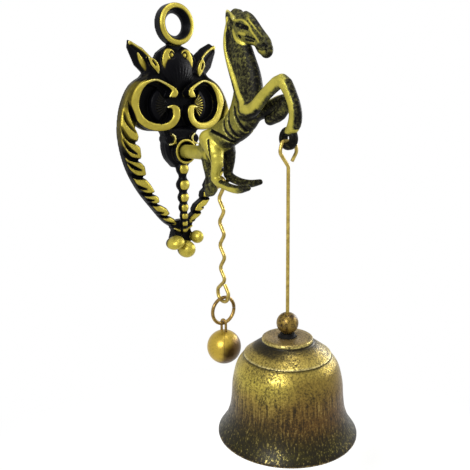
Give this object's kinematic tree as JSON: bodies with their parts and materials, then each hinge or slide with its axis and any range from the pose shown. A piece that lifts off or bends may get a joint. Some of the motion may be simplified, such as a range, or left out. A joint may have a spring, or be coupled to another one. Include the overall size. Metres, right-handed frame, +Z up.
{
  "type": "doorbell",
  "caption": "Wall doorbell: a cast heart-shaped scroll plate with a rearing horse that carries a hanging bell and a ball striker on a wavy wire.",
  "frame": {"origin": "centre of the hanging eye, on the flat back of the plate", "axes": "+Y into the wall, -Y out to the front where the horse and bell hang, +Z upwards, +X to the right as seen from the front"},
  "size_m": [0.0626, 0.1082, 0.1756],
  "materials": {
    "plate_casting": "glossy black patina with the raised work rubbed back to gold",
    "horse_casting": "olive gold and black antique finish",
    "screw_steel": "plated steel",
    "wire_brass": "drawn brass wire",
    "bead_brass": "dark aged brass",
    "washer_black": "blackened",
    "washer_brass": "plain brass",
    "bell_brass": "aged brass, brushed and mottled",
    "ring_brass": "aged brass wire",
    "ball_brass": "polished aged brass"
  },
  "bodies": {
    "bracket": {"wall_plate": "plate_casting", "horse": "horse_casting", "fixing_screw": "screw_steel"},
    "bell_hanger": {"bell_wire": "wire_brass", "top_bead": "bead_brass", "bead_washer": "washer_black", "keeper_washer": "washer_brass"},
    "bell": {"bell_shell": "bell_brass"},
    "striker_arm": {"striker_wire": "wire_brass"},
    "ring": {"jump_ring": "ring_brass"},
    "striker": {"ball_staple": "ring_brass", "striker_ball": "ball_brass"}
  },
  "joints": [
    {"name": "bell_swing", "type": "hinge", "parent": "bracket", "child": "bell_hanger", "pos_m": [-0.0023, -0.0802, -0.04975], "axis": [1, 0, 0], "range_deg": [-30, 3]},
    {"name": "bell_spin", "type": "hinge", "parent": "bell_hanger", "child": "bell", "pos_m": [-0.0023, -0.0802, -0.1264], "axis": [0, 0, 1], "continuous": true},
    {"name": "striker_swing", "type": "hinge", "parent": "bracket", "child": "striker_arm", "pos_m": [0, -0.0355, -0.0694], "axis": [1, 0, 0], "range_deg": [-5, 14]},
    {"name": "ring_roll", "type": "hinge", "parent": "striker_arm", "child": "ring", "pos_m": [0, -0.0355, -0.1236], "axis": [0, 1, 0], "range_deg": [-20, 20]},
    {"name": "ball_swing", "type": "hinge", "parent": "ring", "child": "striker", "pos_m": [0, -0.0355, -0.134], "axis": [1, 0, 0], "range_deg": [-12, 12]}
  ]
}
